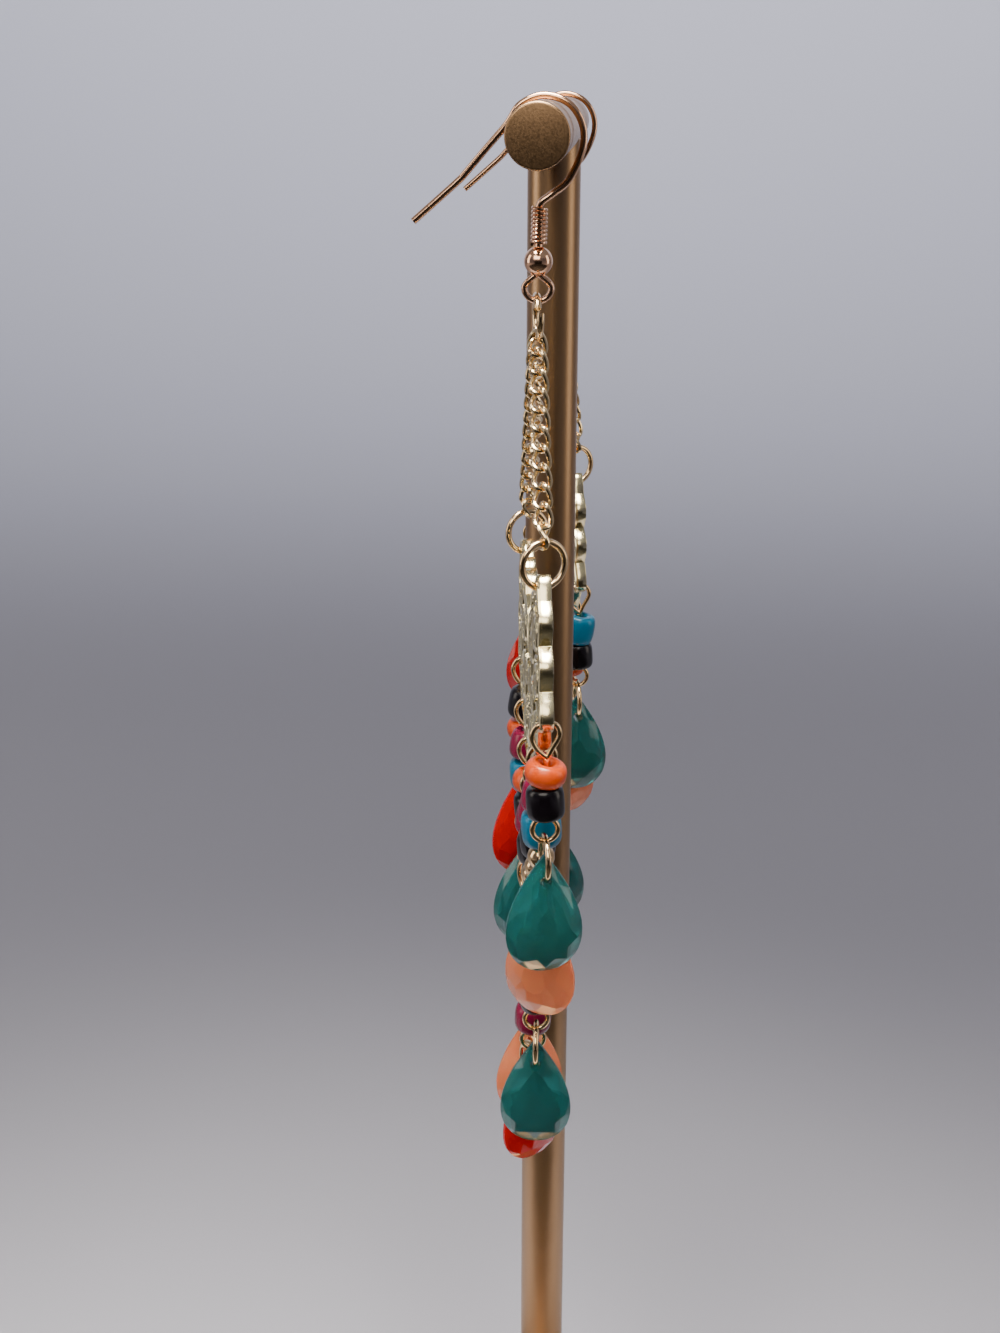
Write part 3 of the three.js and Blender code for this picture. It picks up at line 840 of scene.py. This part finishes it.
def plate_slab():
    """The plate's body, with its eyes cut through."""
    bm = bmesh.new()
    rim = [bm.verts.new((p.x, PLATE["back"], p.y)) for p in plate_outline()]
    for i, vert in enumerate(rim):
        bm.edges.new((rim[i - 1], vert))
    holes = [(side * UPPER_EYE[0], UPPER_EYE[1], PLATE["upper_hole"]) for side in (1, -1)]
    holes += [(x, z, PLATE["lower_hole"]) for x, z in LOWER_EYES]
    for x, z, radius in holes:
        upright = Matrix.Translation((x, PLATE["back"], z)) @ Matrix.Rotation(math.pi / 2, 4, "X")
        bmesh.ops.create_circle(bm, segments=24, radius=radius, matrix=upright)
    bmesh.ops.triangle_fill(bm, use_beauty=True, edges=bm.edges, normal=(0, -1, 0))
    raised = bmesh.ops.extrude_face_region(bm, geom=bm.faces[:])["geom"]
    verts = [g for g in raised if isinstance(g, bmesh.types.BMVert)]
    bmesh.ops.translate(bm, verts=verts, vec=(0, PLATE["front"] - PLATE["back"], 0))
    bmesh.ops.recalc_face_normals(bm, faces=bm.faces)
    return bm


def plate_relief(bm):
    """The cast decoration on the front: rim, eye collars, grain borders, scrolls and a middle flower."""
    front = PLATE["front"]
    rim = [(p.x, front, p.y) for p in plate_outline(RIM["inset"])]
    draw_wire(bm, rim, RIM["wire"], 10, closed=True)
    upper, lower = PLATE["upper_hole"] + COLLAR["upper_gap"], PLATE["lower_hole"] + COLLAR["lower_gap"]
    collars = [(side * UPPER_EYE[0], UPPER_EYE[1], upper) for side in (1, -1)]
    collars += [(x, z, lower) for x, z in LOWER_EYES]
    for x, z, radius in collars:
        ring = [(x + p.y, front, z + p.z) for p in circle_path(radius, 24)]
        draw_wire(bm, ring, COLLAR["wire"], 8, closed=True)
    for (x, z), size, turns, begin in SCROLLS:
        for side in (1, -1):
            path = []
            for i in range(SCROLL["points"]):
                t = i / (SCROLL["points"] - 1)
                angle = math.radians(begin) + 2 * math.pi * turns * t
                radius = size * (1 - SCROLL["closing"] * t)
                across = x + radius * math.cos(angle)
                path.append(Vector((side * across, front - SCROLL["lift"], z + radius * math.sin(angle))))
            draw_wire(bm, path, SCROLL["wire"], 8)
            granule(bm, side * x, z, SCROLL["eye"])
    border = [(p.x, front, p.y) for p in plate_outline(BORDER["inset"])]
    draw_wire(bm, border, BORDER["wire"], 8, closed=True)
    for stem in STEMS:
        for side in (1, -1):
            draw_wire(bm, smooth_path([(side * x, front, z) for x, z in stem], 10), STEM_WIRE, 8)
    for i in range(FLOWER["petals"]):
        angle = 2 * math.pi * (i + 0.5) / FLOWER["petals"]
        x, z = FLOWER["ring"] * math.cos(angle), FLOWER["height"] + FLOWER["ring"] * math.sin(angle)
        granule(bm, x, z, FLOWER["petal"])
    granule(bm, 0, FLOWER["height"], FLOWER["middle"])


def plate_grains(bm):
    """Grains in a row inside the rim, and scattered over the ground between the scrolls."""
    placed = []
    for point in plate_outline(GRAIN_ROW["inset"], 6):
        if all((point - other).length > GRAIN_ROW["spacing"] for other in placed):
            placed.append(point)
            granule(bm, point.x, point.y, GRAIN_ROW["grain"], 1)
    chance = random.Random(11)
    ground = plate_outline(GROUND["inset"])
    for _ in range(GROUND_TRIES):
        point = Vector((chance.uniform(*GROUND["x"]), chance.uniform(*GROUND["z"])))
        if inside(point, ground) and all((point - other).length > GROUND["spacing"] for other in placed):
            placed.append(point)
            granule(bm, point.x, point.y, chance.uniform(*GROUND["grain"]), 1)


class EARRING_OT_plates(Operator):
    """Build each scalloped plate with its cast scrolls and grains"""

    bl_idname = "earring.plates"
    bl_label = "Plates"

    def execute(self, context):
        for name, (side, yaw, lean, _) in EARRINGS.items():
            bm = plate_slab()
            rims = [e for e in bm.edges if e.is_manifold and e.calc_face_angle(0) > math.radians(60)]
            bmesh.ops.bevel(
                bm, geom=rims, offset=PLATE["edge"], segments=2, profile=0.5, affect="EDGES", material=-1
            )
            bm.normal_update()
            # The flat front face is the recessed ground between the scrolls, and it takes the darker finish,
            # which is painted shade.
            for face in bm.faces:
                face.material_index = int(face.normal.y < -0.99)
            plate_relief(bm)
            plate_grains(bm)
            about = Matrix.Translation((0, 0, PLATE_MIDDLE))
            leaning = about @ Matrix.Rotation(math.radians(-lean), 4, "Y") @ about.inverted()
            place = hanging_place(side, yaw) @ leaning
            make_piece(
                f"{name}_cast_plate",
                bm,
                place,
                ["plate", "ground"],
                [f"{name}_plate"],
                PLATE_CREASE,
            )
        return {"FINISHED"}


# ---------------------------------------------------------------- bead strands


def bead_mesh(name):
    """One glass bead round the Z axis: a rounded square section, spun about its bore."""
    radius, height, square = BEADS[name]
    bm = bmesh.new()
    upright = Matrix.Rotation(math.pi / 2, 4, "X")
    verts = bmesh.ops.create_circle(bm, segments=28, radius=1, matrix=upright)["verts"]
    middle, reach = (radius + BEAD_BORE) / 2, (radius - BEAD_BORE) / 2
    fullness = FLAT_BEADS.get(name, BEAD_FULLNESS)
    for vert in verts:
        x, z = vert.co.x, vert.co.z
        vert.co.x = middle + reach * math.copysign(abs(x) ** (2 / square), x)
        vert.co.z = height * fullness * math.copysign(abs(z) ** (2 / square), z)
    bmesh.ops.spin(
        bm,
        geom=[*bm.verts, *bm.edges],
        cent=(0, 0, 0),
        axis=(0, 0, 1),
        angle=2 * math.pi,
        steps=40,
        use_merge=True,
    )
    bmesh.ops.remove_doubles(bm, verts=bm.verts, dist=1e-4)
    bmesh.ops.recalc_face_normals(bm, faces=bm.faces)
    mesh = bpy.data.meshes.new(f"{name}_bead")
    bm.to_mesh(mesh)
    bm.free()
    return mesh


def bead_row(pins, beads, names, top, place, pear, finishes, chance):
    """Draws one eye pin and its beads, hanging from the given height. Returns its lowest wire."""
    wire = millimetres(bpy.context.scene.earring_sizes.pin_wire) / 2
    lower = EYE_PIN["lower_width"] / 2 - wire
    height = EYE_PIN["upper_height"] if pear else EYE_PIN["lower_width"]
    z = top - height + wire
    if pear:
        loop = [Vector((0, y, z - wire + up)) for y, up in EYE_LOOP]
        draw_wire(pins, [place @ p for p in smooth_path(loop, 5)], wire, 12)
    else:
        ring = [p + Vector((0, 0, top - EYE_PIN["lower_width"] / 2)) for p in circle_path(lower)]
        draw_wire(pins, [place @ p for p in ring], wire, 12, closed=True)
    begin = z
    for i, name in enumerate(names):
        size = BEADS[name][1]
        tilt = Matrix.Rotation(math.radians(BEAD_TILTS[i + (0 if pear else 3)]), 4, "X")
        tilt = tilt @ Matrix.Rotation(math.radians(chance.uniform(-BEAD_SWING, BEAD_SWING)), 4, "Y")
        middle = place @ Matrix.Translation((0, 0, z - size / 2)) @ tilt
        if name == "gold":
            bmesh.ops.create_uvsphere(pins, u_segments=32, v_segments=20, radius=size / 2, matrix=middle)
        else:
            template = bead_mesh(name)
            before = len(beads.faces)
            stamp(beads, template, middle)
            beads.faces.ensure_lookup_table()
            for face in beads.faces[before:]:
                face.material_index = finishes.index(name)
            bpy.data.meshes.remove(template)
        z -= size
    draw_wire(pins, [place @ Vector((0, 0, begin)), place @ Vector((0, 0, z - wire))], wire, 10)
    ring = [p + Vector((0, 0, z - lower)) for p in circle_path(lower, 40)]
    draw_wire(pins, [place @ p for p in ring], wire, 12, closed=True)
    return z - 2 * lower


def hung_ring(pins, loop_foot, turn, place):
    """Draws a jump ring hung in a loop. Returns the height of its own lowest wire."""
    sizes = bpy.context.scene.earring_sizes
    wire = millimetres(sizes.ring_wire) / 2
    pin = millimetres(sizes.pin_wire) / 2
    middle = loop_foot + pin + wire - EYE_PIN["overlap"] - DROP_RING["radius"]
    turned = Matrix.Translation((0, 0, middle)) @ Matrix.Rotation(math.radians(90 + turn), 4, "Z")
    path = circle_path(DROP_RING["radius"], 48, DROP_RING["opening"], DROP_RING["cut"])
    draw_wire(pins, [place @ turned @ p for p in path], wire, 14)
    return middle - DROP_RING["radius"]


def hang_dangle(name, number, dangle, eye, place):
    """Builds one dangle's pin, beads and rings. Returns where its drop's hole is."""
    beads_above, beads_below, _, turn = dangle
    sizes = bpy.context.scene.earring_sizes
    pin, wire = millimetres(sizes.pin_wire) / 2, millimetres(sizes.ring_wire) / 2
    finishes = sorted(set(beads_above + beads_below) - {"gold"})
    chance = random.Random(100 * number + len(name))
    pins, beads = bmesh.new(), bmesh.new()
    at = Matrix.Translation(eye)
    foot = bead_row(pins, beads, beads_above, EYE_PIN["overlap"] + pin, at, True, finishes, chance)
    if beads_below:
        ring_foot = hung_ring(pins, foot, TIER_RING_TURN, at)
        top = ring_foot + wire + 2 * pin - EYE_PIN["overlap"]
        foot = bead_row(pins, beads, beads_below, top, at, False, finishes, chance)
    hole = hung_ring(pins, foot, turn, at)
    node = f"{name}_strand_{number}"
    make_piece(f"{name}_pins_{number}", pins, place, ["ring"])
    make_piece(f"{name}_beads_{number}", beads, place, finishes, [node], 60)
    return eye + Vector((0, 0, hole))


class EARRING_OT_strands(Operator):
    """Build the seven strands of beads on each earring, with their eye pins and rings"""

    bl_idname = "earring.strands"
    bl_label = "Bead strands"

    def execute(self, context):
        for name, (side, yaw, lean, dangles) in EARRINGS.items():
            place = hanging_place(side, yaw)
            for i, dangle in enumerate(dangles):
                eye = leaned(LOWER_EYES[i], lean)
                hang_dangle(name, i + 1, dangle, eye, place)
        return {"FINISHED"}


# ---------------------------------------------------------------- drops


def teardrop_edge(angle, width, height):
    """A point on a teardrop's outline, at an angle that starts at its tip."""
    half = width / 2 * math.sin(angle) * abs(math.sin(angle / 2)) / TEARDROP["outline_peak"]
    return Vector((0, half, DROP_HOLE["below_tip"] - height * (1 - math.cos(angle)) / 2))


def teardrop_mesh(width, height, depth):
    """A flat faceted teardrop with its hole at the origin, its faces towards X and its tip up."""
    middle = Vector((0, 0, DROP_HOLE["below_tip"] - TEARDROP["belly"] * height))
    girdle, facets = TEARDROP["girdle"], TEARDROP["facets"]
    bm = bmesh.new()
    for i in range(4 * facets):
        edge = teardrop_edge(2 * math.pi * i / (4 * facets), width, height)
        for side in (1, -1):
            bm.verts.new(edge + Vector((side * girdle * TEARDROP["girdle_edge"], 0, 0)))
    for ring, (share, height_share) in enumerate(TEARDROP_RINGS):
        rise = girdle + (depth / 2 - girdle) * height_share
        for i in range(facets):
            edge = teardrop_edge(2 * math.pi * (i + 0.5 * (ring % 2)) / facets, width, height)
            flat = middle + (edge - middle) * share
            for side in (1, -1):
                bm.verts.new(flat + Vector((side * rise, 0, 0)))
    hull = bmesh.ops.convex_hull(bm, input=bm.verts)
    spare = {g for g in hull["geom_interior"] + hull["geom_unused"] if isinstance(g, bmesh.types.BMVert)}
    bmesh.ops.delete(bm, geom=list(spare), context="VERTS")
    bmesh.ops.dissolve_limit(bm, angle_limit=math.radians(1.5), verts=bm.verts, edges=bm.edges)
    bmesh.ops.recalc_face_normals(bm, faces=bm.faces)
    mesh = bpy.data.meshes.new("faceted_teardrop")
    bm.to_mesh(mesh)
    bm.free()
    return mesh


def drilled(mesh, radius, depth):
    """The mesh with a hole drilled through the origin along X."""
    blank = bpy.data.objects.new("blank", mesh)
    bm = bmesh.new()
    bmesh.ops.create_cone(
        bm,
        cap_ends=True,
        segments=24,
        radius1=radius,
        radius2=radius,
        depth=2 * depth,
        matrix=Matrix.Rotation(math.pi / 2, 4, "Y"),
    )
    drill_mesh = bpy.data.meshes.new("drill")
    bm.to_mesh(drill_mesh)
    bm.free()
    drill = bpy.data.objects.new("drill", drill_mesh)
    for each in (blank, drill):
        bpy.context.scene.collection.objects.link(each)
    cut = blank.modifiers.new("hole", "BOOLEAN")
    cut.operation, cut.object, cut.solver = "DIFFERENCE", drill, "EXACT"
    bpy.context.view_layer.update()
    result = bpy.data.meshes.new_from_object(blank.evaluated_get(bpy.context.evaluated_depsgraph_get()))
    for each in (blank, drill):
        bpy.data.objects.remove(each)
    bpy.data.meshes.remove(drill_mesh)
    bpy.data.meshes.remove(mesh)
    return result


class EARRING_OT_drops(Operator):
    """Build the faceted teardrop at the end of each strand"""

    bl_idname = "earring.drops"
    bl_label = "Drops"

    def execute(self, context):
        sizes = context.scene.earring_sizes
        depth = millimetres(sizes.drop_depth)
        blank = teardrop_mesh(millimetres(sizes.drop_width), millimetres(sizes.drop_height), depth)
        template = drilled(blank, DROP_HOLE["radius"], depth)
        for name, (_, yaw, _, dangles) in EARRINGS.items():
            for i, (_, _, colour, turn) in enumerate(dangles):
                node = f"{name}_drop_{i + 1}"
                low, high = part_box(node)
                hole = (low + high) / 2
                hole.z = high.z - DROP_HOLE["below_tip"] * MM
                turned = Matrix.Rotation(math.radians(yaw + turn), 4, "Z")
                bm = bmesh.new()
                stamp(bm, template, Matrix.Identity(4))
                place = Matrix.Translation(hole) @ turned @ Matrix.Scale(MM, 4)
                make_piece(f"{name}_teardrop_{i + 1}", bm, place, [colour], [node], 0)
        bpy.data.meshes.remove(template)
        return {"FINISHED"}


# ---------------------------------------------------------------- the studio


def softbox(name, place, aim, width, height, power, tint, spread):
    """A soft rectangular light aimed at a point, with a grid that can narrow the angle it spreads over."""
    light = bpy.data.lights.new(name, "AREA")
    light.shape, light.size, light.size_y = "RECTANGLE", width, height
    light.energy, light.color, light.spread = power, linear(tint), math.radians(spread)
    lamp = bpy.data.objects.new(name, light)
    lamp.location = place
    lamp.rotation_euler = (Vector(aim) - Vector(place)).to_track_quat("-Z", "Y").to_euler()
    bpy.context.scene.collection.objects.link(lamp)
    return lamp


def black_card(name, place, aim, width, height):
    """A black card that no view shows. It only darkens what the polished metal mirrors."""
    bm = bmesh.new()
    bmesh.ops.create_grid(bm, x_segments=1, y_segments=1, size=0.5)
    bmesh.ops.scale(bm, vec=(width, height, 1), verts=bm.verts)
    turn = (Vector(aim) - Vector(place)).to_track_quat("Z", "Y").to_matrix().to_4x4()
    bmesh.ops.transform(bm, matrix=Matrix.Translation(place) @ turn, verts=bm.verts)
    mesh = bpy.data.meshes.new(name)
    bm.to_mesh(mesh)
    bm.free()
    black = opaque((CARD_TONE, CARD_TONE, CARD_TONE))
    mesh.materials.append(new_material(name, {"Base Color": black, "Roughness": 0.9})[0])
    card = bpy.data.objects.new(name, mesh)
    card.visible_camera = False
    card.visible_shadow = False
    card.visible_diffuse = False
    card.visible_transmission = False
    bpy.context.scene.collection.objects.link(card)


class EARRING_OT_studio(Operator):
    """Set up the paper sweep, the lights and the camera"""

    bl_idname = "earring.studio"
    bl_label = "Studio"

    def execute(self, context):
        colours = context.scene.earring_colours
        # Rolled paper, matt and slightly cool, so the floor runs into the background with no line.
        paper = new_material("matt studio paper", {"Base Color": opaque(colours.floor), "Roughness": 0.9})[0]
        bm = bmesh.new()
        flat, bend = SWEEP["flat"], SWEEP["bend"]
        profile = [(0, 0), (flat / 2, 0), (flat, 0)]
        for i in range(1, SWEEP["steps"] + 1):
            angle = math.pi / 2 * i / SWEEP["steps"]
            profile.append((flat + bend * math.sin(angle), bend * (1 - math.cos(angle))))
        profile.append((flat + bend, SWEEP["top"]))
        verts = [bm.verts.new((x, 0, z)) for x, z in profile]
        for a, b in zip(verts, verts[1:]):
            bm.edges.new((a, b))
        bmesh.ops.spin(
            bm,
            geom=[*bm.verts, *bm.edges],
            cent=(0, 0, 0),
            axis=(0, 0, 1),
            angle=2 * math.pi,
            steps=64,
            use_merge=True,
        )
        bmesh.ops.remove_doubles(bm, verts=bm.verts, dist=1e-5)
        mesh = bpy.data.meshes.new("paper_sweep")
        bm.to_mesh(mesh)
        bm.free()
        mesh.materials.append(paper)
        mesh.shade_smooth()
        sweep = bpy.data.objects.new("paper_sweep", mesh)
        context.scene.collection.objects.link(sweep)

        world = bpy.data.worlds.new("studio")
        world.use_nodes = True
        backdrop = world.node_tree.nodes["Background"].inputs
        backdrop["Color"].default_value = opaque(linear(WORLD["tint"]))
        backdrop["Strength"].default_value = WORLD["strength"]
        context.scene.world = world
        [softbox(*each) for each in SOFTBOXES]
        for each in CARDS:
            black_card(*each)

        camera_data = bpy.data.cameras.new("camera")
        camera_data.lens = CAMERA["lens"]
        camera_data.sensor_fit = "AUTO"
        camera_data.sensor_width = 36
        camera_data.clip_start, camera_data.clip_end = 0.005, 20
        camera = bpy.data.objects.new("camera", camera_data)
        around, down = math.radians(CAMERA["towards"]), math.radians(CAMERA["down"])
        ahead = Vector(
            (
                -math.cos(around) * math.cos(down),
                -math.sin(around) * math.cos(down),
                -math.sin(down),
            )
        )
        camera.location = CAMERA["place"]
        camera.rotation_euler = ahead.to_track_quat("-Z", "Y").to_euler()
        context.scene.collection.objects.link(camera)
        context.scene.camera = camera
        return {"FINISHED"}


# ---------------------------------------------------------------- panel and registration

OPERATORS = [
    EARRING_OT_stand,
    EARRING_OT_hooks,
    EARRING_OT_rings_and_chains,
    EARRING_OT_plates,
    EARRING_OT_strands,
    EARRING_OT_drops,
    EARRING_OT_studio,
]


class EARRING_PT_panel(Panel):
    """Lists the steps that build the earrings, and their sizes and colours"""

    bl_idname = "EARRING_PT_panel"
    bl_label = "Dangle earrings"
    bl_space_type = "VIEW_3D"
    bl_region_type = "UI"
    bl_category = "Earrings"

    def draw(self, context):
        for step in OPERATORS:
            self.layout.operator(step.bl_idname)
        for group in (context.scene.earring_sizes, context.scene.earring_colours):
            for name in group.__annotations__:
                self.layout.prop(group, name)


CLASSES = [EARRING_PG_sizes, EARRING_PG_colours, *OPERATORS, EARRING_PT_panel]


def register():
    for each in CLASSES:
        bpy.utils.register_class(each)
    bpy.types.Scene.earring_sizes = PointerProperty(type=EARRING_PG_sizes)
    bpy.types.Scene.earring_colours = PointerProperty(type=EARRING_PG_colours)


def unregister():
    del bpy.types.Scene.earring_colours
    del bpy.types.Scene.earring_sizes
    for each in reversed(CLASSES):
        bpy.utils.unregister_class(each)


def main():
    register()
    bpy.ops.earring.stand()
    bpy.ops.earring.hooks()
    bpy.ops.earring.rings_and_chains()
    bpy.ops.earring.plates()
    bpy.ops.earring.strands()
    bpy.ops.earring.drops()
    bpy.ops.earring.studio()


if __name__ == "__main__":
    main()
